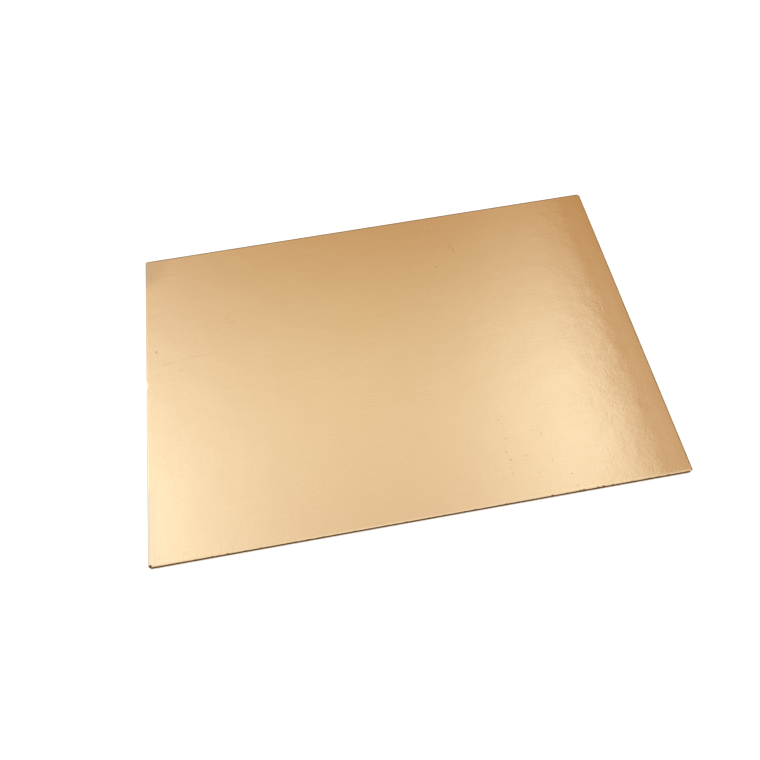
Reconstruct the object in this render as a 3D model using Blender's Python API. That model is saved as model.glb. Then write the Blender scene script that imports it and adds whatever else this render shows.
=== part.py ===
"""Copper clad board: a single-sided laminate blank for etched circuits, lying flat with its copper face up.

Two layers bonded face to face: a rigid laminate base and a thin copper foil over the whole of its top.
The blank is cut by shearing, so the foil rolls down at the cut, the wall below it is a smooth sheared
band, and the rest of the wall is a torn band that stands back a little and ends in a chipped lower edge.

Metres, +Z up. X runs along the long side, Y along the short side, and the origin is at the middle of
the underside.
"""

import math

import bmesh
import bpy

# The blank
BOARD_LENGTH = 0.150
BOARD_WIDTH = 0.100
BASE_THICKNESS = 0.001565
FOIL_THICKNESS = 0.000035

# Its corners, seen from above
CORNER_RADIUS = 0.0004
BLUNT_CORNER_RADIUS = 0.0009
CORNER_STEPS = 6

# Section of the sheared edge, from the copper face down
ROLL_WIDTH = 0.00038
ROLL_DROP = 0.00011
ROLL_STEPS = 4
SHEARED_BAND = 0.00055
TORN_SETBACK = 0.00003
CHIPPED_EDGE = 0.00008

# The nick in the left edge, with a steep flank at its back and a slow one at its front
NICK_DEPTH = 0.00036
NICK_FROM_MIDDLE = 0.0035
NICK_BACK_FLANK = 0.0019
NICK_FRONT_FLANK = 0.0031
NICK_STEPS = 6

# Finish of each layer: colour (linear), roughness, metallic
BASE_FINISH = ((0.33, 0.16, 0.012), 0.42, 0.0)
FOIL_FINISH = ((0.87, 0.56, 0.33), 0.3, 1.0)

COLLECTION_NAME = "copper_clad_board"


def clear_scene():
    for scene_object in list(bpy.data.objects):
        bpy.data.objects.remove(scene_object, do_unlink=True)


def make_material(name, finish):
    colour, roughness, metallic = finish
    material = bpy.data.materials.new(name)
    material.use_nodes = True
    shader = material.node_tree.nodes["Principled BSDF"]
    shader.inputs["Base Color"].default_value = (*colour, 1.0)
    shader.inputs["Roughness"].default_value = roughness
    shader.inputs["Metallic"].default_value = metallic
    material.diffuse_color = (*colour, 1.0)
    return material


def corner_arc(side_x, side_y, radius):
    """Points of one rounded corner, turning anticlockwise seen from above."""
    centre_x = side_x * (BOARD_LENGTH / 2 - radius)
    centre_y = side_y * (BOARD_WIDTH / 2 - radius)
    start = math.atan2(side_y, side_x) - math.pi / 4
    angles = [start + math.pi / 2 * step / CORNER_STEPS for step in range(CORNER_STEPS + 1)]
    return [(centre_x + radius * math.cos(a), centre_y + radius * math.sin(a)) for a in angles]


def nick_points():
    """Points of the nick, going down the left edge: each flank is half a wave from the edge to the bottom."""
    points = []
    for flank, side in ((NICK_BACK_FLANK, 1), (NICK_FRONT_FLANK, -1)):
        for step in range(NICK_STEPS + 1):
            share = step / NICK_STEPS
            away = 1 - share if side > 0 else share
            depth = NICK_DEPTH * (1 + math.cos(math.pi * away)) / 2
            points.append((depth - BOARD_LENGTH / 2, NICK_FROM_MIDDLE + side * flank * away))
    del points[NICK_STEPS]
    return points


def blank_outline():
    """The blank seen from above, anticlockwise from the front right corner. The far right corner is blunt."""
    return (
        corner_arc(1, -1, CORNER_RADIUS)
        + corner_arc(1, 1, BLUNT_CORNER_RADIUS)
        + corner_arc(-1, 1, CORNER_RADIUS)
        + nick_points()
        + corner_arc(-1, -1, CORNER_RADIUS)
    )


def plate_from_outline(name, points, low_z, high_z, collection):
    """A flat plate between two heights, made from a filled 2D curve and turned into a mesh."""
    curve = bpy.data.curves.new(name, "CURVE")
    curve.dimensions = "2D"
    curve.fill_mode = "BOTH"
    curve.extrude = (high_z - low_z) / 2
    spline = curve.splines.new("POLY")
    spline.points.add(len(points) - 1)
    for point, (x, y) in zip(spline.points, points):
        point.co = (x, y, 0, 1)
    spline.use_cyclic_u = True
    guide = bpy.data.objects.new(name + "_outline", curve)
    guide.location.z = (high_z + low_z) / 2
    collection.objects.link(guide)
    bpy.context.view_layer.update()

    evaluated = guide.evaluated_get(bpy.context.evaluated_depsgraph_get())
    mesh = bpy.data.meshes.new_from_object(evaluated)
    mesh.transform(guide.matrix_world)
    mesh.name = name
    bpy.data.objects.remove(guide)
    plate = bpy.data.objects.new(name, mesh)
    collection.objects.link(plate)
    return plate


def cap_face(shape, up):
    """The one flat cap that faces up or down."""
    return max(shape.faces, key=lambda face: (face.normal.z * up, face.calc_area()))


def section_step(shape, up, inwards, onwards):
    """Carries a cap of the plate on: inwards from the cut, and onwards along the way that it faces."""
    bmesh.ops.inset_region(
        shape, faces=[cap_face(shape, up)], thickness=inwards, depth=onwards, use_even_offset=True
    )
    shape.normal_update()


def make_base(collection):
    """The laminate: a plate of the sheared band's height, carried up over the roll and down the torn wall."""
    band_top = BASE_THICKNESS - ROLL_DROP
    band_low = band_top - SHEARED_BAND
    base = plate_from_outline("laminate_base", blank_outline(), band_low, band_top, collection)

    shape = bmesh.new()
    shape.from_mesh(base.data)
    bmesh.ops.remove_doubles(shape, verts=shape.verts, dist=1e-7)
    caps = [face for face in shape.faces if abs(face.normal.z) > 0.5]
    for up in (1, -1):
        bmesh.ops.dissolve_faces(shape, faces=[face for face in caps if face.is_valid and face.normal.z * up > 0])
    bmesh.ops.recalc_face_normals(shape, faces=shape.faces)

    step_width = ROLL_WIDTH / ROLL_STEPS
    for step in range(ROLL_STEPS):
        before = (1 - step / ROLL_STEPS) ** 2
        after = (1 - (step + 1) / ROLL_STEPS) ** 2
        section_step(shape, 1, step_width, ROLL_DROP * (before - after))
    section_step(shape, -1, TORN_SETBACK, band_low - CHIPPED_EDGE)
    section_step(shape, -1, CHIPPED_EDGE, CHIPPED_EDGE)

    shape.to_mesh(base.data)
    shape.free()
    return base


def make_foil(base, collection):
    """The copper: the base's top skin, from the cut on one side to the cut on the other, made one foil thick."""
    band_top = BASE_THICKNESS - ROLL_DROP
    shape = bmesh.new()
    shape.from_mesh(base.data)
    below = [
        face for face in shape.faces if face.normal.z < 1e-3 or face.calc_center_median().z < band_top
    ]
    bmesh.ops.delete(shape, geom=below, context="FACES")
    skin = list(shape.faces)
    grown = bmesh.ops.extrude_face_region(shape, geom=skin, use_keep_orig=True)
    top = [item for item in grown["geom"] if isinstance(item, bmesh.types.BMVert)]
    bmesh.ops.translate(shape, verts=top, vec=(0, 0, FOIL_THICKNESS))
    bmesh.ops.recalc_face_normals(shape, faces=shape.faces)

    mesh = bpy.data.meshes.new("copper_foil")
    shape.to_mesh(mesh)
    shape.free()
    foil = bpy.data.objects.new("copper_foil", mesh)
    collection.objects.link(foil)
    return foil


def main():
    clear_scene()
    collection = bpy.data.collections.new(COLLECTION_NAME)
    bpy.context.scene.collection.children.link(collection)

    base = make_base(collection)
    foil = make_foil(base, collection)
    base.data.materials.append(make_material("laminate_base", BASE_FINISH))
    foil.data.materials.append(make_material("copper_foil", FOIL_FINISH))


main()
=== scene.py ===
import math

import bmesh
import bpy
from bpy.props import FloatProperty, FloatVectorProperty, IntProperty, PointerProperty
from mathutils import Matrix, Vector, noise


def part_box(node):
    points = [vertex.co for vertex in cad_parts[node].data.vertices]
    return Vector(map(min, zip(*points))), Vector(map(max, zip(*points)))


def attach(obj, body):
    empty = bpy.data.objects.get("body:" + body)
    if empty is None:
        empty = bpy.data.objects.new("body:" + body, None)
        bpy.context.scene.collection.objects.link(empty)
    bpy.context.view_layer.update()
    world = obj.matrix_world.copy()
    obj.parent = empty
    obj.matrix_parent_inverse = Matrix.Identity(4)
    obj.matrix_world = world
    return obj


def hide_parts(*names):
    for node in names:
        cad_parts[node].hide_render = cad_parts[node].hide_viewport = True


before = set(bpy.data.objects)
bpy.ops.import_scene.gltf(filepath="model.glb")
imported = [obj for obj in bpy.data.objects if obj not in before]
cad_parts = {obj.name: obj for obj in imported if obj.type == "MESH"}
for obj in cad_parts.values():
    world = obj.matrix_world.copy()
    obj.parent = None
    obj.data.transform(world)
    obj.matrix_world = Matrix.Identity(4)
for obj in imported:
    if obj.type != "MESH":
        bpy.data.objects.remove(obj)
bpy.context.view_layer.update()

bl_info = {
    "name": "Copper clad board",
    "version": (1, 0, 0),
    "blender": (4, 5, 0),
    "location": "3D View > Sidebar > Clad board",
    "description": "Dresses a copper clad laminate blank: resin core, copper cladding and a plain studio",
    "category": "Mesh",
}

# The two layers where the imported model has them, in metres
CORE_LOW, CORE_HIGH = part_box("laminate_base")
FOIL_LOW, FOIL_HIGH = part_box("copper_foil")
BLANK = CORE_HIGH - CORE_LOW
FOIL_THICKNESS = FOIL_HIGH.z - CORE_HIGH.z
ROLL_DROP = CORE_HIGH.z - FOIL_LOW.z
MM = 0.001

# Points closer than this are at one place, points this near the left edge lie on it, and a face with more
# than this much of its normal along Z lies level
SAME_PLACE = 0.0001 * MM
ON_EDGE = 0.01 * MM
LEVEL = 0.9

# Steps of the corner arcs, and the sharpest bend (degrees) that is shaded smooth
CORNER_STEPS = 6
BLUNT_CORNER_STEPS = 8
SMOOTH_BEND = 38

# The torn wall: its rings, the grain of its relief and how much of the relief, from 0 to 1, goes inwards
TORN_RINGS = 4
TORN_GRAIN = 0.55 * MM
RELIEF_INWARDS = 0.62

# Plain strips at the foot and at the head of the torn wall, and a flat ring round the underside
PLAIN_FOOT = 0.10 * MM
PLAIN_HEAD = 0.02 * MM
FLAT_RING = 0.12 * MM

# The resin's index of refraction, and the heights of the cloth grain in it and of its torn fibres
RESIN_IOR = 1.54
CLOTH_HEIGHT = 0.003 * MM
FIBRE_HEIGHT = 0.06 * MM

# Tears in the copper lip along the front edge, in mm: place along X, half of the width, depth
LIP_TEARS = (
    (-72.0, 0.30, 0.07), (-62.5, 0.30, 0.06), (-58.0, 0.35, 0.10), (-53.8, 0.40, 0.13),
    (-49.0, 0.30, 0.07), (-45.0, 0.35, 0.10), (-36.0, 0.30, 0.07), (-28.0, 0.35, 0.08),
    (-19.5, 0.30, 0.06), (-5.2, 0.30, 0.06), (0.8, 0.35, 0.07), (5.2, 0.35, 0.08),
    (13.6, 0.40, 0.09), (20.2, 0.30, 0.06), (22.2, 0.40, 0.12), (35.2, 0.50, 0.15),
    (39.2, 0.30, 0.06), (43.0, 0.40, 0.14), (44.0, 0.45, 0.19), (48.0, 0.42, 0.20),
    (49.5, 0.55, 0.22), (52.2, 0.40, 0.11), (57.5, 0.35, 0.08), (62.5, 0.35, 0.12),
    (64.8, 0.30, 0.08), (68.0, 0.45, 0.13),
)

# The lip is whole near the corners. Between them it wavers, and its tears are rounded and ragged
WHOLE_LIP_END = 1.2 * MM
WAVER_LENGTH = 0.9 * MM
WAVER_ROW = 3.7
RAG_LENGTH = 0.24 * MM
RAG_ROW = 9.1
RAG_SHARE = 0.6
TEAR_ROUNDNESS = 1.6

# Pits and stains in the copper face, and a broad darker patch over its far left corner, in mm: place, size
# along Y, size along X, how dark
PITS = (
    (27.0, -32.0, 0.95, 0.75, 0.26), (26.0, -34.6, 0.75, 0.70, 0.17), (26.0, -35.9, 1.15, 0.85, 0.16),
    (26.7, -38.2, 0.75, 0.95, 0.32), (26.2, -40.4, 0.90, 0.75, 0.10), (26.2, -42.2, 0.75, 0.90, 0.23),
    (26.2, -26.1, 0.90, 0.90, 0.16), (27.0, -27.5, 0.95, 0.75, 0.17), (31.3, -37.9, 0.70, 1.55, 0.15),
    (38.8, -23.5, 0.85, 0.90, 0.07), (37.2, -32.4, 0.75, 0.85, 0.20), (38.1, -40.3, 1.00, 0.85, 0.15),
    (33.4, -43.2, 0.70, 0.75, 0.19), (42.1, -45.1, 0.75, 1.00, 0.26), (42.7, -48.6, 0.75, 0.90, 0.23),
    (35.0, -30.7, 0.90, 1.15, 0.07), (20.8, 44.1, 1.00, 0.65, 0.29), (17.0, 28.4, 0.75, 0.75, 0.12),
    (20.0, 29.6, 1.00, 1.00, 0.15), (-47.4, 21.3, 0.90, 0.90, 0.13), (-49.2, 22.8, 1.15, 1.00, 0.09),
    (-33.7, 26.8, 0.65, 1.00, 0.10), (-64.6, 6.8, 0.90, 0.90, 0.19), (-71.8, 14.8, 1.80, 1.00, 0.29),
    (-72.9, -27.3, 0.90, 0.75, 0.15), (-75.0, 48.0, 22.0, 20.0, 0.14),
)

# Scratches in the copper face, in mm: middle, length, width, way along (degrees), how dark
SCRATCHES = (
    (-68.6, 10.0, 5.6, 0.60, 5.5, 0.12), (-61.4, 10.8, 12.0, 0.45, 4.0, 0.08),
    (-54.5, 11.1, 7.0, 0.40, -3.0, 0.07), (26.8, 36.3, 6.4, 0.40, -77.0, 0.16),
    (27.3, 35.0, 4.2, 0.35, -80.0, 0.14), (26.3, 36.8, 4.4, 0.35, 40.0, 0.11),
    (-71.9, -47.9, 1.8, 0.40, -48.0, 0.15), (-64.9, -47.9, 2.4, 0.35, 38.0, 0.13),
    (-64.2, -48.4, 2.2, 0.30, 35.0, 0.10),
)

# Dark marks of the knocks on both front corners, as for the scratches
CORNER_MARKS = ((-74.40, -49.75, 1.10, 1.10, 0, 1.00), (74.75, -49.95, 1.00, 0.70, 0, 0.70))

# How far up its slope, from 0 at the rim to 1 in the middle, a mark is at its darkest
MARK_FULL = 0.6

# The ding in the front left corner: how far it reaches and how deep it is
DING_REACH = 0.53 * MM
DING_DEPTH = 0.16 * MM

# The left edge is rubbed towards both of its ends: middle of the clean part, and how far from there the
# rub starts and is full
RUB_MIDDLE = 6 * MM
RUB_START = 33 * MM
RUB_FULL = 37 * MM

# The front lip gets a painted highlight, stronger and stronger between these two places along X
LIP_HIGHLIGHT_START = 5 * MM
LIP_HIGHLIGHT_FULL = 50 * MM

# The floor: its size, how far the painted shade round the object's edge reaches and how brightly the rest
# shows
FLOOR_RADIUS = 6
FLOOR_SIDES = 96
PAINTED_SHADE_REACH = 0.45 * MM
FLOOR_GLOW = 0.55

# Soft windows of the studio: way round from the far side and height (degrees), tightness, colour, and
# whether the panel stands before it
WINDOWS = (
    (-68.1, 48.4, 12.8, (1.14, 1.69, 2.09), False),
    (182.3, 55.7, 3.7, (0.63, 0.95, 1.21), False),
    (60.8, 55.9, 23.0, (0.78, 1.17, 1.40), True),
    (-3.0, 65.2, 31.6, (0.23, 0.35, 0.36), True),
)

# Right side of the panel, on a level one unit above the board: how far right, how it slants back, its blur
PANEL_SIDE = 0.472
PANEL_SLANT = 0.062
PANEL_BLUR = 0.156

# The white backdrop that mirrors show: whole up to the first height and gone above the second. A height is
# the upward part of a way one unit long, so they stand for 7 and 21 degrees.
BACKDROP_WHOLE = 0.12
BACKDROP_GONE = 0.36

# The camera: width of its sensor (mm), its shift as a share of that, and how near it can see
SENSOR_WIDTH = 36
CAMERA_SHIFT = (0.00955, 0.01238)
NEAREST_SIGHT = 5 * MM

# Sockets of a Mix node's two colours
MIX_A, MIX_B = 6, 7


def linear(hex_colour):
    """An sRGB hex colour as linear red, green and blue."""
    parts = [int(hex_colour[i:i + 2], 16) / 255 for i in (0, 2, 4)]
    return tuple(c / 12.92 if c <= 0.04045 else ((c + 0.055) / 1.055) ** 2.4 for c in parts)


def colour_setting(name, hex_colour, about):
    return FloatVectorProperty(
        name=name, description=about, subtype="COLOR", size=3, min=0, max=1, default=linear(hex_colour)
    )


def length_setting(name, millimetres, about):
    return FloatProperty(
        name=name, description=about, unit="LENGTH", min=0, precision=5, default=millimetres * MM
    )


class CutSettings(bpy.types.PropertyGroup):
    """The sheared edge that runs round both layers."""

    corner_radius: length_setting("Corner radius", 0.4, "Radius of three corners, seen from above")
    blunt_radius: length_setting("Blunt corner radius", 0.9, "Radius of the knocked far right corner")
    roll_width: length_setting("Roll width", 0.38, "How far in from the cut the copper starts to roll")
    sheared_band: length_setting("Sheared band", 0.55, "Height of the smooth band below the roll")
    torn_setback: length_setting("Torn setback", 0.03, "How far the torn band stands back")
    chipped_edge: length_setting("Chipped edge", 0.08, "Size of the chips along the lower edge")
    nick_depth: length_setting("Nick depth", 0.36, "Depth of the nick in the left edge")
    nick_place: length_setting("Nick place", 3.5, "Nick's deepest point, from the middle of the left edge")
    nick_back: length_setting("Nick back flank", 1.9, "Length of the nick's steep flank")
    nick_front: length_setting("Nick front flank", 3.1, "Length of the nick's slow flank")
    step: length_setting("Edge step", 0.16, "Distance between points along the edge")
    wall_relief: length_setting("Wall relief", 0.07, "Height of the torn relief on the cut wall")
    lip_waver: length_setting("Lip waver", 0.06, "How far the copper lip wavers back from the front edge")
    roll_steps: IntProperty(
        name="Roll steps", description="Rings across the roll", default=6, min=2, max=12
    )


class CopperSettings(bpy.types.PropertyGroup):
    """The bare copper face."""

    face: colour_setting("Face", "E7C5A1", "Clean copper")
    cloud: colour_setting("Cloud", "E1BD96", "Copper where it has tarnished a little")
    # A plain darker grey band along the far copper lip
    far_lip_grey: colour_setting("Oxide", "6E6052", "Copper lip along the far edge, left dull by the shear")
    dull: colour_setting("Dull", "A39E92", "Copper lip along the right edge, less dull")
    pit: colour_setting("Pit", "8A6030", "Pits, stains and scratches")
    knock_and_edge_glow: colour_setting("Bruise", "4A2E18", "Front corners where the copper was knocked off")
    rubbed: colour_setting("Rubbed", "C9B4A0", "Copper lip rubbed greyer along the left edge")
    # Painted highlight: the light that the rolled front lip mirrors, laid on as a paler colour
    bright: colour_setting("Bright", "F0D4B4", "Copper lip burnished by the blade along the front edge")
    peel: FloatProperty(
        name="Peel", description="Height of the orange peel", unit="LENGTH", precision=7, default=9e-6,
        min=0
    )
    plate_lines: FloatProperty(
        name="Plate lines", description="Height of the press plate's lines", unit="LENGTH", precision=7,
        default=6e-7, min=0
    )


class LaminateSettings(bpy.types.PropertyGroup):
    """The resin core, on its underside and on its cut wall."""

    ochre: colour_setting("Ochre", "A37A1C", "Most of the underside")
    amber: colour_setting("Amber", "B0820F", "Resin rich blotches")
    olive: colour_setting("Olive", "96701E", "Resin poor blotches")
    # Painted light: the pale glow along the underside's arris, where light shines through the thin edge
    knock_and_edge_glow: colour_setting("Bruise", "C9B65C", "Resin gone pale along the arris, where the blade came out")
    cut: colour_setting("Cut", "84601F", "Torn wall")
    # Painted shade in the hollows of the torn wall
    cut_shade: colour_setting("Cut dark", "5C3F12", "Hollows of the torn wall")
    cut_pale: colour_setting("Cut pale", "9C7A3C", "Fibres that stand out of the torn wall")


class StudioSettings(bpy.types.PropertyGroup):
    """The floor, the light round the board and the camera."""

    floor: colour_setting("Floor", "DCDCDA", "Matt white board")
    # Painted shade: the warm dark colour of the floor close under the object's edge
    painted_shade: colour_setting("Crack", "7E4C16", "Floor in the crack under the object's edge")
    room: FloatVectorProperty(
        name="Room", description="Warm light from the room all round", subtype="COLOR", size=3, min=0,
        default=(0.57, 0.36, 0.12)
    )
    camera_place: FloatVectorProperty(
        name="Camera place", description="Where the camera stands", subtype="TRANSLATION", unit="LENGTH",
        size=3, default=(-0.01452, -0.07782, 0.15565)
    )
    camera_turn: FloatVectorProperty(
        name="Camera turn", description="Which way the camera looks", subtype="EULER", unit="ROTATION",
        size=3, default=(math.radians(23.819), math.radians(1.781), math.radians(-9.732))
    )
    lens: FloatProperty(name="Lens", description="Focal length in mm", default=26.78, min=1)


# Choosing parts of a mesh and adding nodes


def choose(kind, test):
    """In edit mode, selects the verts, edges or faces that pass the test, and nothing else."""
    bpy.ops.mesh.select_mode(type={"verts": "VERT", "edges": "EDGE", "faces": "FACE"}[kind])
    bpy.ops.mesh.select_all(action="DESELECT")
    mesh = bpy.context.object.data
    shape = bmesh.from_edit_mesh(mesh)
    shape.normal_update()
    chosen = [item for item in getattr(shape, kind) if test(item)]
    if not chosen:
        raise RuntimeError(f"{bpy.context.object.name}: nothing to select among the {kind}")
    for item in chosen:
        item.select_set(True)
    bmesh.update_edit_mesh(mesh)


def move_points(change):
    """In edit mode, gives each point the place that the change works out from its own."""
    mesh = bpy.context.object.data
    shape = bmesh.from_edit_mesh(mesh)
    for vert in shape.verts:
        vert.co = change(vert.co.copy())
    bmesh.update_edit_mesh(mesh)


def add_node(tree, kind, inputs=None, **settings):
    """Adds a node with its settings. Each input gets a value, an output or a node's first output in use."""
    added = tree.nodes.new(kind)
    for name, value in settings.items():
        setattr(added, name, value)
    for name, value in (inputs or {}).items():
        if isinstance(value, bpy.types.Node):
            value = next(output for output in value.outputs if output.enabled)
        if isinstance(value, bpy.types.NodeSocket):
            tree.links.new(value, added.inputs[name])
        else:
            added.inputs[name].default_value = value
    return added


def new_material(name):
    """A new material with its node tree, its shader and the object's own coordinates."""
    material = bpy.data.materials.new(name)
    material.use_nodes = True
    tree = material.node_tree
    coords = add_node(tree, "ShaderNodeTexCoord").outputs["Object"]
    return material, tree, tree.nodes["Principled BSDF"], coords


# The sheared edge, which both layers share


def runs_along_x(edge):
    return abs(edge.verts[0].co.y - edge.verts[1].co.y) < SAME_PLACE


def flat_blank(name, height, cut):
    """A plane at the blank's size and height, with its corners rounded and its sides divided evenly."""
    if bpy.context.object and bpy.context.object.mode != "OBJECT":
        bpy.ops.object.mode_set(mode="OBJECT")
    bpy.ops.object.select_all(action="DESELECT")
    middle = (CORE_HIGH + CORE_LOW) / 2
    bpy.ops.mesh.primitive_plane_add(size=1, location=(middle.x, middle.y, height))
    blank = bpy.context.object
    blank.name = blank.data.name = name
    bpy.ops.object.mode_set(mode="EDIT")
    bpy.ops.transform.resize(value=(BLANK.x, BLANK.y, 1))
    choose("verts", lambda vert: vert.co.x > 0 and vert.co.y > 0)
    bpy.ops.mesh.bevel(offset=cut.blunt_radius, segments=BLUNT_CORNER_STEPS, affect="VERTICES")
    choose("verts", lambda vert: vert.co.x < 0 or vert.co.y < 0)
    bpy.ops.mesh.bevel(offset=cut.corner_radius, segments=CORNER_STEPS, affect="VERTICES")

    # Each side is divided twice, because one subdivide makes 100 cuts at most
    for side, along_x in ((BLANK.x, True), (BLANK.y, False)):
        cuts = round(math.sqrt(side / cut.step)) - 1
        choose("edges", lambda edge: side * 0.9 < edge.calc_length() <= side)
        bpy.ops.mesh.subdivide(number_cuts=cuts)
        shortest = side * 0.5 / (cuts + 1)
        choose("edges", lambda edge: edge.calc_length() > shortest and runs_along_x(edge) == along_x)
        bpy.ops.mesh.subdivide(number_cuts=cuts)
    bpy.ops.mesh.select_mode(type="FACE")
    bpy.ops.mesh.select_all(action="SELECT")
    bpy.ops.mesh.dissolve_faces()
    bpy.ops.object.mode_set(mode="OBJECT")
    bpy.ops.object.transform_apply(location=True, rotation=True, scale=True)
    bpy.ops.object.mode_set(mode="EDIT")
    move_points(lambda place: nicked(place, cut))
    return blank


def nicked(place, cut):
    """The left edge with its nick: each flank is half a wave from the edge to the bottom."""
    if place.x > CORE_LOW.x + ON_EDGE:
        return place
    away = place.y - cut.nick_place
    share = away / cut.nick_back if away > 0 else -away / cut.nick_front
    if share < 1:
        place.x += cut.nick_depth * (1 + math.cos(math.pi * share)) / 2
    return place


def dinged(place):
    """The front left corner knocked down a little, most at its tip and least at the underside."""
    away = math.hypot(place.x - CORE_LOW.x, place.y - CORE_LOW.y) / DING_REACH
    if away < 1:
        place.z -= DING_DEPTH * (1 - away) ** 2 * place.z / FOIL_HIGH.z
    return place


def torn_lip(place, cut):
    """The copper lip, drawn back over the roll where it is torn and lifted to stay on the core."""
    inward = place.y - CORE_LOW.y
    if inward > cut.roll_width - SAME_PLACE or abs(place.x) > CORE_HIGH.x - WHOLE_LIP_END:
        return place
    depth = cut.lip_waver * max(0, noise.noise((place.x / WAVER_LENGTH, WAVER_ROW, 0)))
    ragged = 1 + RAG_SHARE * noise.noise((place.x / RAG_LENGTH, RAG_ROW, 0))
    for along, half, bite in LIP_TEARS:
        away = abs(place.x / MM - along) / half
        if away < 1:
            depth = max(depth, bite * MM * (1 - away ** TEAR_ROUNDNESS) * ragged)
    drawn = depth + inward * (cut.roll_width - depth) / cut.roll_width
    place.z += ROLL_DROP * ((1 - inward / cut.roll_width) ** 2 - (1 - drawn / cut.roll_width) ** 2)
    place.y = CORE_LOW.y + drawn
    return place


def inset(inwards, onwards):
    """Carries the selected faces in from the cut, and onwards the way that they face."""
    bpy.ops.mesh.inset(
        thickness=inwards, depth=onwards, use_even_offset=True, use_relative_offset=False
    )


def roll_over(cut):
    """Carries the blank's top in and up over the roll, which is steepest at the cut."""
    choose("faces", lambda face: face.normal.z > LEVEL)
    for ring in range(cut.roll_steps):
        before = (1 - ring / cut.roll_steps) ** 2
        after = (1 - (ring + 1) / cut.roll_steps) ** 2
        inset(cut.roll_width / cut.roll_steps, ROLL_DROP * (before - after))


def roughen_wall(core, height, low, high):
    """Gives the torn wall its relief between two heights, a cloud pattern square to the surface."""
    points = [vert.index for vert in core.data.vertices if low < vert.co.z < high]
    core.vertex_groups.new(name="torn_wall").add(points, 1, "REPLACE")
    pattern = bpy.data.textures.new("torn_fibres", "CLOUDS")
    pattern.noise_scale = TORN_GRAIN
    pattern.noise_depth = 2
    relief = core.modifiers.new("torn_fibres", "DISPLACE")
    relief.texture = pattern
    relief.texture_coords = "LOCAL"
    relief.vertex_group = "torn_wall"
    relief.strength = height
    relief.mid_level = RELIEF_INWARDS


def finish_piece(piece, materials, node):
    """Leaves edit mode, with smooth faces and any second material on the underside."""
    move_points(dinged)
    bpy.ops.mesh.select_all(action="SELECT")
    bpy.ops.mesh.normals_make_consistent(inside=False)
    bpy.ops.object.mode_set(mode="OBJECT")
    for modifier in list(piece.modifiers):
        bpy.ops.object.modifier_apply(modifier=modifier.name)
    piece.vertex_groups.clear()
    for material in materials:
        piece.data.materials.append(material)
    if len(materials) > 1:
        bpy.ops.object.mode_set(mode="EDIT")
        choose("faces", lambda face: face.normal.z < -LEVEL)
        piece.active_material_index = 1
        bpy.ops.object.material_slot_assign()
        bpy.ops.object.mode_set(mode="OBJECT")
    bpy.ops.object.shade_smooth_by_angle(angle=math.radians(SMOOTH_BEND))

    # The copper face and the underside are each one big face, and stay flat
    bpy.ops.object.mode_set(mode="EDIT")
    choose("faces", lambda face: face.calc_area() > BLANK.x * BLANK.y / 2)
    bpy.ops.mesh.faces_shade_flat()
    bpy.ops.object.mode_set(mode="OBJECT")
    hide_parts(node)
    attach(piece, "root")
    piece.select_set(False)


# Materials


def marks(tree, coords, places):
    """Lens shaped marks on the face, each fading outwards from its middle, as one value from 0 to 1."""
    total = 0.0
    for x, y, length, width, turn, darkness in places:
        lens = add_node(tree, "ShaderNodeMapping", {
            "Vector": coords, "Location": (x * MM, y * MM, FOIL_HIGH.z),
            "Rotation": (0, 0, math.radians(turn)), "Scale": (length * MM / 2, width * MM / 2, 1)},
            vector_type="TEXTURE")
        fade = add_node(tree, "ShaderNodeTexGradient", {0: lens}, gradient_type="SPHERICAL")
        spot = add_node(tree, "ShaderNodeMapRange", {
            "Value": fade.outputs["Fac"], "From Max": MARK_FULL, "To Max": darkness},
            interpolation_type="SMOOTHSTEP")
        total = add_node(tree, "ShaderNodeMath", {0: spot, 1: total}, operation="MAXIMUM")
    return total


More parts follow.
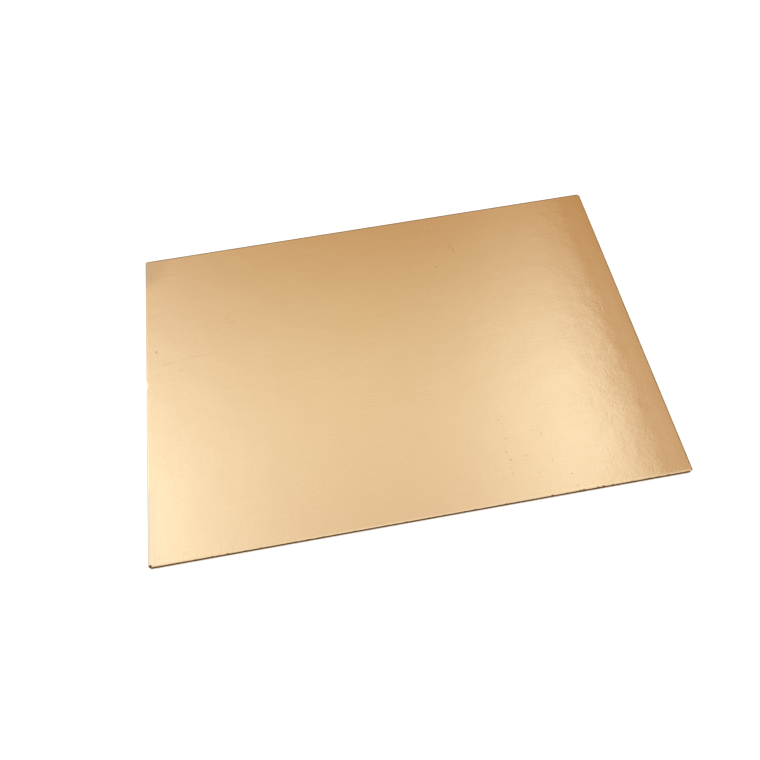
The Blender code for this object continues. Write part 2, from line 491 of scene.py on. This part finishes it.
def pressed_copper(copper):
    """Bare electrodeposited copper foil, pressed onto the laminate between polished steel plates.

    It gives the eye a satin metal: a soft mirror with an orange peel about 1 mm across that the laminate
    presses through, faint straight lines from the plates along the sheet, thin clouds of tarnish, and
    pits.
    """
    material, tree, shader, coords = new_material("pressed_copper_foil")
    place = add_node(tree, "ShaderNodeSeparateXYZ", {0: coords}).outputs

    # Tarnish clouds about 14 mm across, grain of 0.5 mm, and the plates' lines: 0.35 mm apart, 20 mm long
    cloud = add_node(tree, "ShaderNodeTexNoise", {
        "Vector": coords, "Scale": 70, "Detail": 4, "Roughness": 0.6})
    grain = add_node(tree, "ShaderNodeTexNoise", {"Vector": coords, "Scale": 1900, "Detail": 1})
    along = add_node(tree, "ShaderNodeMapping", {"Vector": coords, "Scale": (50, 2900, 50)})
    lines = add_node(tree, "ShaderNodeTexNoise", {"Vector": along, "Scale": 1, "Detail": 2})

    tint = add_node(tree, "ShaderNodeMapRange", {
        "Value": cloud, "From Min": 0.35, "From Max": 0.7, "To Min": 0.3, "To Max": 0.48})
    tint = add_node(tree, "ShaderNodeMath", {0: lines, 1: 0.6, 2: tint}, operation="MULTIPLY_ADD")
    tint = add_node(tree, "ShaderNodeMath", {0: grain, 1: 1.1, 2: tint}, operation="MULTIPLY_ADD")
    tint = add_node(tree, "ShaderNodeMath", {0: tint, 1: 0.9}, operation="SUBTRACT", use_clamp=True)
    colour = add_node(tree, "ShaderNodeMix", {
        0: tint, MIX_A: (*copper.face, 1), MIX_B: (*copper.cloud, 1)}, data_type="RGBA")
    pits = [(x, y, size_x, size_y, 0, darkness) for x, y, size_y, size_x, darkness in PITS]
    worn = marks(tree, coords, pits + list(SCRATCHES))
    edged = add_node(tree, "ShaderNodeMix", {
        0: worn, MIX_A: colour, MIX_B: (*copper.pit, 1)}, data_type="RGBA")

    # The lips, each a line along its edge that fades over half of its width: 0.6 mm wide at the front, with
    # a painted highlight that grows stronger to the right, 0.4 mm wide and greyer at the far and right
    # edges, the right one in dashes of 1 mm, and 0.6 mm wide and rubbed along both ends of the left edge,
    # with a faint band of 2.4 mm behind it. A width is below 0 where the line lies on the low side of its
    # axis. The knocked corners come last.
    knocks = marks(tree, coords, CORNER_MARKS)
    dashes = add_node(tree, "ShaderNodeTexNoise", {"Vector": coords, "Scale": 800, "Detail": 2})
    dashes = add_node(tree, "ShaderNodeMapRange", {
        "Value": dashes, "From Min": 0.4, "From Max": 0.6, "To Min": 0.42, "To Max": 0.92})
    from_middle = add_node(tree, "ShaderNodeMath", {0: place["Y"], 1: RUB_MIDDLE}, operation="SUBTRACT")
    from_middle = add_node(tree, "ShaderNodeMath", {0: from_middle}, operation="ABSOLUTE")
    near_ends = add_node(tree, "ShaderNodeMapRange", {
        "Value": from_middle, "From Min": RUB_START, "From Max": RUB_FULL, "To Max": 0.9})
    behind = add_node(tree, "ShaderNodeMath", {0: near_ends, 1: 0.28}, operation="MULTIPLY")
    # Painted highlight on the front lip, growing to the right where the roll mirrors the strongest light
    lip_highlight_level = add_node(tree, "ShaderNodeMapRange", {
        "Value": place["X"], "From Min": LIP_HIGHLIGHT_START, "From Max": LIP_HIGHLIGHT_FULL, "To Min": 0.1,
        "To Max": 0.7})
    for axis, end, wide, tone, level in (
            ("Y", FOIL_LOW.y, -0.60, copper.bright, lip_highlight_level),
            ("X", FOIL_HIGH.x, 0.44, copper.dull, dashes),
            ("Y", FOIL_HIGH.y, 0.38, copper.far_lip_grey, 0.92),
            ("X", FOIL_LOW.x, -2.40, copper.rubbed, behind),
            ("X", FOIL_LOW.x, -0.60, copper.rubbed, near_ends)):
        lip = add_node(tree, "ShaderNodeMapRange", {
            "Value": place[axis], "From Min": end - 1.25 * wide * MM, "From Max": end - 0.75 * wide * MM,
            "To Max": level})
        edged = add_node(tree, "ShaderNodeMix", {
            0: lip, MIX_A: edged, MIX_B: (*tone, 1)}, data_type="RGBA")
    edged = add_node(tree, "ShaderNodeMix", {
        0: knocks, MIX_A: edged, MIX_B: (*copper.knock_and_edge_glow, 1)}, data_type="RGBA")

    # Clouds and lines are a little rougher than the clean metal
    dull = add_node(tree, "ShaderNodeMapRange", {
        "Value": cloud, "From Min": 0.3, "From Max": 0.7, "To Min": 0.13, "To Max": 0.147})
    dull = add_node(tree, "ShaderNodeMath", {0: lines, 1: 0.02, 2: dull}, operation="MULTIPLY_ADD")

    # Orange peel: waves 8 mm long, swells 2.8 mm across, ripples of 0.9 mm and dents 0.8 mm wide in
    # patches of 6 mm. From 9 to 4 mm off the right edge, where the sheet was pressed flattest, it falls to
    # a third.
    wave = add_node(tree, "ShaderNodeTexNoise", {"Vector": coords, "Scale": 130, "Detail": 1})
    swell = add_node(tree, "ShaderNodeTexNoise", {"Vector": coords, "Scale": 360, "Detail": 1})
    ripple = add_node(tree, "ShaderNodeTexNoise", {
        "Vector": coords, "Scale": 1150, "Detail": 1, "Roughness": 0.45})
    cells = add_node(tree, "ShaderNodeTexVoronoi", {"Vector": coords, "Scale": 850})
    patch = add_node(tree, "ShaderNodeTexNoise", {"Vector": coords, "Scale": 160, "Detail": 0})
    patch = add_node(tree, "ShaderNodeMapRange", {
        "Value": patch, "From Min": 0.4, "From Max": 0.6, "To Min": -0.2, "To Max": -0.85})
    peel = add_node(tree, "ShaderNodeMapRange", {
        "Value": cells.outputs["Distance"], "From Max": 0.34, "To Min": patch, "To Max": 0},
        interpolation_type="SMOOTHSTEP")
    for pattern, share in ((wave, 3.0), (swell, 1.7), (ripple, 0.55)):
        peel = add_node(tree, "ShaderNodeMath", {0: pattern, 1: share, 2: peel}, operation="MULTIPLY_ADD")
    flat = add_node(tree, "ShaderNodeMapRange", {
        "Value": place["X"], "From Min": FOIL_HIGH.x - 9 * MM, "From Max": FOIL_HIGH.x - 4 * MM,
        "To Min": 1, "To Max": 0.35}, interpolation_type="SMOOTHSTEP")
    peel = add_node(tree, "ShaderNodeMath", {0: peel, 1: flat}, operation="MULTIPLY")

    # Puckers 1 mm across, in the 2.5 mm behind the front edge
    front = add_node(tree, "ShaderNodeMapRange", {
        "Value": place["Y"], "From Min": FOIL_LOW.y + 0.6 * MM, "From Max": FOIL_LOW.y + 2.5 * MM,
        "To Min": 0.9, "To Max": 0}, interpolation_type="SMOOTHSTEP")
    height = add_node(tree, "ShaderNodeMath", {0: ripple, 1: front, 2: peel}, operation="MULTIPLY_ADD")

    plates = add_node(tree, "ShaderNodeBump", {
        "Height": lines, "Distance": copper.plate_lines, "Strength": 1})
    relief = add_node(tree, "ShaderNodeBump", {
        "Height": height, "Distance": copper.peel, "Strength": 1, "Normal": plates})

    shader.inputs["Metallic"].default_value = 1
    tree.links.new(edged.outputs[2], shader.inputs["Base Color"])
    tree.links.new(dull.outputs[0], shader.inputs["Roughness"])
    tree.links.new(relief.outputs[0], shader.inputs["Normal"])
    return material


def pressed_laminate(resin):
    """The underside of the glass epoxy laminate, pressed hard against a release sheet.

    It gives the eye a satin, mottled ochre, in blotches a few mm across where the resin runs thick and
    thin, with a pale line along the arris that is painted light, the glow of light shining through the thin
    edge.
    """
    material, tree, shader, coords = new_material("pressed_resin_laminate")
    place = add_node(tree, "ShaderNodeSeparateXYZ", {0: coords}).outputs

    # Blotches about 5 mm across with finer flecks of 1.2 mm, and a press cloth grain of 0.4 mm
    blotch = add_node(tree, "ShaderNodeTexNoise", {
        "Vector": coords, "Scale": 190, "Detail": 4, "Roughness": 0.6})
    fleck = add_node(tree, "ShaderNodeTexNoise", {"Vector": coords, "Scale": 820, "Detail": 3})
    grain = add_node(tree, "ShaderNodeTexNoise", {"Vector": coords, "Scale": 2500, "Detail": 2})
    rich = add_node(tree, "ShaderNodeMapRange", {
        "Value": blotch, "From Min": 0.47, "From Max": 0.68}, interpolation_type="SMOOTHSTEP")
    poor = add_node(tree, "ShaderNodeMapRange", {
        "Value": fleck, "From Min": 0.5, "From Max": 0.75}, interpolation_type="SMOOTHSTEP")
    skin = add_node(tree, "ShaderNodeMix", {
        0: rich, MIX_A: (*resin.ochre, 1), MIX_B: (*resin.amber, 1)}, data_type="RGBA")
    skin = add_node(tree, "ShaderNodeMix", {
        0: poor, MIX_A: skin, MIX_B: (*resin.olive, 1)}, data_type="RGBA")

    # Painted light along the arris: the glow where light shines through the thin edge, 0.3 mm wide,
    # wavering with the flecks
    reach = []
    for axis, end in (("X", CORE_HIGH.x), ("Y", CORE_HIGH.y)):
        away = add_node(tree, "ShaderNodeMath", {0: place[axis]}, operation="ABSOLUTE")
        away = add_node(tree, "ShaderNodeMath", {0: away, 1: end - 0.25 * MM}, operation="SUBTRACT")
        reach.append(away)
    nearest = add_node(tree, "ShaderNodeMath", {0: reach[0], 1: reach[1]}, operation="MAXIMUM")
    nearest = add_node(tree, "ShaderNodeMath", {0: fleck, 1: 0.4 * MM, 2: nearest},
                       operation="MULTIPLY_ADD")
    painted_edge_glow = add_node(tree, "ShaderNodeMapRange", {
        "Value": nearest, "From Min": 0.02 * MM, "From Max": 0.3 * MM, "To Max": 0.7},
        interpolation_type="SMOOTHSTEP")
    colour = add_node(tree, "ShaderNodeMix", {
        0: painted_edge_glow, MIX_A: skin, MIX_B: (*resin.knock_and_edge_glow, 1)}, data_type="RGBA")
    cloth = add_node(tree, "ShaderNodeBump", {
        "Height": grain, "Distance": CLOTH_HEIGHT, "Strength": 1})

    shader.inputs["IOR"].default_value = RESIN_IOR
    shader.inputs["Roughness"].default_value = 0.38
    tree.links.new(colour.outputs[2], shader.inputs["Base Color"])
    tree.links.new(cloth.outputs[0], shader.inputs["Normal"])
    return material


def sheared_laminate(resin):
    """The cut wall of the laminate, which the shear tore across its plies.

    It gives the eye a dull brown line, rough and full of shade, with paler fibres. The torn glass ends
    hide the gloss of the resin, so the wall mirrors very little even seen along its face.
    """
    material, tree, shader, coords = new_material("sheared_laminate_edge")

    # Plies 0.2 mm thick that waver along the wall, and torn fibres 0.7 mm long
    stretched = add_node(tree, "ShaderNodeMapping", {"Vector": coords, "Scale": (1400, 1400, 4200)})
    torn = add_node(tree, "ShaderNodeTexNoise", {
        "Vector": stretched, "Scale": 1, "Detail": 4, "Roughness": 0.65})
    fibre = add_node(tree, "ShaderNodeTexNoise", {"Vector": coords, "Scale": 820, "Detail": 3})
    # The hollows of the torn relief get painted shade
    shaded_hollow = add_node(tree, "ShaderNodeMapRange", {
        "Value": torn, "From Min": 0.42, "From Max": 0.62}, interpolation_type="SMOOTHSTEP")
    fibre = add_node(tree, "ShaderNodeMapRange", {
        "Value": fibre, "From Min": 0.52, "From Max": 0.72}, interpolation_type="SMOOTHSTEP")
    wall = add_node(tree, "ShaderNodeMix", {
        0: shaded_hollow, MIX_A: (*resin.cut, 1), MIX_B: (*resin.cut_shade, 1)}, data_type="RGBA")
    wall = add_node(tree, "ShaderNodeMix", {
        0: fibre, MIX_A: wall, MIX_B: (*resin.cut_pale, 1)}, data_type="RGBA")
    tears = add_node(tree, "ShaderNodeBump", {
        "Height": torn, "Distance": FIBRE_HEIGHT, "Strength": 1})

    shader.inputs["IOR"].default_value = RESIN_IOR
    shader.inputs["Roughness"].default_value = 0.9
    shader.inputs["Specular IOR Level"].default_value = 0.12
    tree.links.new(wall.outputs[2], shader.inputs["Base Color"])
    tree.links.new(tears.outputs[0], shader.inputs["Normal"])
    return material


def matt_floor(studio):
    """Matt white board. Seen straight or in the metal, it is a white background that keeps the shadow.

    Close to the object it darkens with a painted shade, a warm brown line under the edge.
    """
    material = bpy.data.materials.new("matt_white_board")
    material.use_nodes = True
    tree = material.node_tree
    tree.nodes.clear()

    # Painted shade: where less than 0.64 of the way up is open the floor takes the shade colour, and where
    # more than 0.96 is open it is plain
    near = add_node(tree, "ShaderNodeAmbientOcclusion", {"Distance": PAINTED_SHADE_REACH}).outputs["AO"]
    clear = add_node(tree, "ShaderNodeMapRange", {"Value": near, "From Min": 0.64, "From Max": 0.96})
    colour = add_node(tree, "ShaderNodeMix", {
        0: clear, MIX_A: (*studio.painted_shade, 1), MIX_B: (*studio.floor, 1)}, data_type="RGBA")
    paint = add_node(tree, "ShaderNodeBsdfDiffuse", {"Color": colour})

    # The glow goes out in the painted shade as well, and takes on its warm tint
    level = add_node(tree, "ShaderNodeMath", {0: background_rays(tree, FLOOR_GLOW), 1: clear},
                     operation="MULTIPLY")
    tone = add_node(tree, "ShaderNodeMix", {
        0: clear, MIX_A: (*studio.painted_shade, 1), MIX_B: (1, 1, 1, 1)}, data_type="RGBA")
    glow = add_node(tree, "ShaderNodeEmission", {"Color": tone, "Strength": level})
    both = add_node(tree, "ShaderNodeAddShader", {0: paint, 1: glow})
    add_node(tree, "ShaderNodeOutputMaterial", {"Surface": both})
    return material


def background_rays(tree, level):
    """The level on rays that see the background straight, mirrored or through glass, and 0 on the rest."""
    rays = add_node(tree, "ShaderNodeLightPath").outputs
    seen = add_node(tree, "ShaderNodeMath", {0: rays["Is Camera Ray"], 1: rays["Is Glossy Ray"]},
                    operation="MAXIMUM")
    seen = add_node(tree, "ShaderNodeMath", {0: seen, 1: rays["Is Transmission Ray"]},
                    operation="MAXIMUM")
    return add_node(tree, "ShaderNodeMath", {0: seen, 1: level}, operation="MULTIPLY")


def studio_light(studio):
    """A warm room with a white backdrop at the horizon, and soft cool windows, two behind one panel."""
    world = bpy.data.worlds.new("soft_studio")
    bpy.context.scene.world = world
    world.use_nodes = True
    tree = world.node_tree
    tree.nodes.clear()
    way = add_node(tree, "ShaderNodeTexCoord").outputs["Generated"]
    part = add_node(tree, "ShaderNodeSeparateXYZ", {0: way}).outputs

    # The panel hides what lies to the right of its slanted, blurred side. The height is held above 0,
    # because the way across is divided by it.
    up = add_node(tree, "ShaderNodeMath", {0: part["Z"], 1: 0.05}, operation="MAXIMUM")
    across = add_node(tree, "ShaderNodeMath", {0: part["Y"], 1: -PANEL_SLANT, 2: part["X"]},
                      operation="MULTIPLY_ADD")
    across = add_node(tree, "ShaderNodeMath", {0: across, 1: up}, operation="DIVIDE")
    panel = add_node(tree, "ShaderNodeMapRange", {
        "Value": across, "From Min": PANEL_SIDE - PANEL_BLUR / 2, "From Max": PANEL_SIDE + PANEL_BLUR / 2,
        "To Min": 1, "To Max": 0}, interpolation_type="SMOOTHSTEP")

    light = tuple(studio.room)
    for azimuth, elevation, tightness, colour, behind_panel in WINDOWS:
        turn, rise = math.radians(azimuth), math.radians(elevation)
        middle = (math.sin(turn) * math.cos(rise), math.cos(turn) * math.cos(rise), math.sin(rise))
        facing = add_node(tree, "ShaderNodeVectorMath", {0: way, 1: middle}, operation="DOT_PRODUCT")
        fade = add_node(tree, "ShaderNodeMath", {0: facing.outputs["Value"], 1: tightness, 2: -tightness},
                        operation="MULTIPLY_ADD")
        glow = add_node(tree, "ShaderNodeMath", {0: fade}, operation="EXPONENT")
        if behind_panel:
            glow = add_node(tree, "ShaderNodeMath", {0: glow, 1: panel}, operation="MULTIPLY")
        light = add_node(tree, "ShaderNodeVectorMath", {0: glow, 1: colour, 2: light},
                         operation="MULTIPLY_ADD")

    # The white backdrop: all round for the camera, and only low down for mirrors
    rays = add_node(tree, "ShaderNodeLightPath").outputs
    low = add_node(tree, "ShaderNodeMapRange", {
        "Value": part["Z"], "From Min": BACKDROP_WHOLE, "From Max": BACKDROP_GONE, "To Min": 1,
        "To Max": 0}, interpolation_type="SMOOTHSTEP")
    mirrored = add_node(tree, "ShaderNodeMath", {
        0: rays["Is Glossy Ray"], 1: rays["Is Transmission Ray"]}, operation="MAXIMUM")
    mirrored = add_node(tree, "ShaderNodeMath", {0: mirrored, 1: low}, operation="MULTIPLY")
    white = add_node(tree, "ShaderNodeMath", {0: mirrored, 1: rays["Is Camera Ray"]},
                     operation="MAXIMUM")
    seen = add_node(tree, "ShaderNodeMix", {0: white, MIX_A: light, MIX_B: (1, 1, 1, 1)},
                    data_type="RGBA")
    sky = add_node(tree, "ShaderNodeBackground", {"Color": seen, "Strength": 1})
    add_node(tree, "ShaderNodeOutputWorld", {"Surface": sky})


# Operators


class CLADBOARD_OT_laminate_core(bpy.types.Operator):
    """Build the resin core: rolled top edge, sheared band, torn wall and chipped lower edge"""

    bl_idname = "cladboard.laminate_core"
    bl_label = "Laminate core"
    bl_options = {"REGISTER", "UNDO"}

    def execute(self, context):
        cut = context.scene.cladboard_cut
        band_top = CORE_HIGH.z - ROLL_DROP
        band_low = band_top - cut.sheared_band
        core = flat_blank("laminate_core", band_top, cut)

        # The smooth sheared band, with the roll above it
        bpy.ops.mesh.select_all(action="SELECT")
        bpy.ops.mesh.extrude_region_move(TRANSFORM_OT_translate={"value": (0, 0, -cut.sheared_band)})
        bpy.ops.mesh.select_all(action="SELECT")
        bpy.ops.mesh.normals_make_consistent(inside=False)
        roll_over(cut)

        # The torn wall a little way in, down to the chips round the underside
        choose("faces", lambda face: face.normal.z < -LEVEL)
        inset(cut.torn_setback, cut.torn_setback)
        ring = (band_low - cut.torn_setback - cut.chipped_edge) / TORN_RINGS
        for _ in range(TORN_RINGS):
            bpy.ops.mesh.extrude_region_move(TRANSFORM_OT_translate={"value": (0, 0, -ring)})
        inset(cut.chipped_edge, cut.chipped_edge)
        inset(FLAT_RING, 0)
        bpy.ops.object.mode_set(mode="OBJECT")
        roughen_wall(core, cut.wall_relief, PLAIN_FOOT, band_low - PLAIN_HEAD)

        bpy.ops.object.mode_set(mode="EDIT")
        resin = context.scene.cladboard_laminate
        skins = (sheared_laminate(resin), pressed_laminate(resin))
        finish_piece(core, skins, "laminate_base")
        return {"FINISHED"}


class CLADBOARD_OT_copper_cladding(bpy.types.Operator):
    """Build the copper foil: one foil thick, rolled down at the cut, its lip torn along the front"""

    bl_idname = "cladboard.copper_cladding"
    bl_label = "Copper cladding"
    bl_options = {"REGISTER", "UNDO"}

    def execute(self, context):
        cut = context.scene.cladboard_cut
        foil = flat_blank("copper_cladding", CORE_HIGH.z - ROLL_DROP, cut)
        roll_over(cut)
        bpy.ops.mesh.select_all(action="SELECT")
        bpy.ops.mesh.extrude_region_move(TRANSFORM_OT_translate={"value": (0, 0, FOIL_THICKNESS)})
        move_points(lambda place: torn_lip(place, cut))
        skins = (pressed_copper(context.scene.cladboard_copper),)
        finish_piece(foil, skins, "copper_foil")
        return {"FINISHED"}


class CLADBOARD_OT_studio(bpy.types.Operator):
    """Set the stage: a matt white floor, soft light all round and the camera"""

    bl_idname = "cladboard.studio"
    bl_label = "Studio"
    bl_options = {"REGISTER", "UNDO"}

    def execute(self, context):
        scene = context.scene
        studio = scene.cladboard_studio
        bpy.ops.object.select_all(action="DESELECT")
        bpy.ops.mesh.primitive_circle_add(
            vertices=FLOOR_SIDES, radius=FLOOR_RADIUS, fill_type="NGON", location=(0, 0, 0)
        )
        floor = context.object
        floor.name = floor.data.name = "studio_floor"
        floor.data.materials.append(matt_floor(studio))
        studio_light(studio)

        lens = bpy.data.cameras.new("studio_camera")
        camera = bpy.data.objects.new("studio_camera", lens)
        scene.collection.objects.link(camera)
        camera.location = studio.camera_place
        camera.rotation_euler = studio.camera_turn
        lens.lens = studio.lens
        lens.sensor_width = SENSOR_WIDTH
        lens.shift_x, lens.shift_y = CAMERA_SHIFT
        lens.clip_start = NEAREST_SIGHT
        lens.dof.use_dof = False
        scene.camera = camera
        scene.view_settings.view_transform = "Standard"
        floor.select_set(False)
        return {"FINISHED"}


OPERATORS = (CLADBOARD_OT_laminate_core, CLADBOARD_OT_copper_cladding, CLADBOARD_OT_studio)


class CLADBOARD_PT_sidebar(bpy.types.Panel):
    """The board's pieces and its studio"""

    bl_idname = "CLADBOARD_PT_sidebar"
    bl_label = "Clad board"
    bl_space_type = "VIEW_3D"
    bl_region_type = "UI"
    bl_category = "Clad board"

    def draw(self, context):
        for operator in OPERATORS:
            self.layout.operator(operator.bl_idname)


SETTINGS = {
    "cladboard_cut": CutSettings,
    "cladboard_copper": CopperSettings,
    "cladboard_laminate": LaminateSettings,
    "cladboard_studio": StudioSettings,
}


def register():
    for settings in SETTINGS.values():
        bpy.utils.register_class(settings)
    for name, settings in SETTINGS.items():
        setattr(bpy.types.Scene, name, PointerProperty(type=settings))
    for shown in (*OPERATORS, CLADBOARD_PT_sidebar):
        bpy.utils.register_class(shown)


def unregister():
    for shown in (CLADBOARD_PT_sidebar, *reversed(OPERATORS)):
        bpy.utils.unregister_class(shown)
    for name in SETTINGS:
        delattr(bpy.types.Scene, name)
    for settings in SETTINGS.values():
        bpy.utils.unregister_class(settings)


def main():
    register()
    bpy.ops.cladboard.laminate_core()
    bpy.ops.cladboard.copper_cladding()
    bpy.ops.cladboard.studio()


if __name__ == "__main__":
    main()
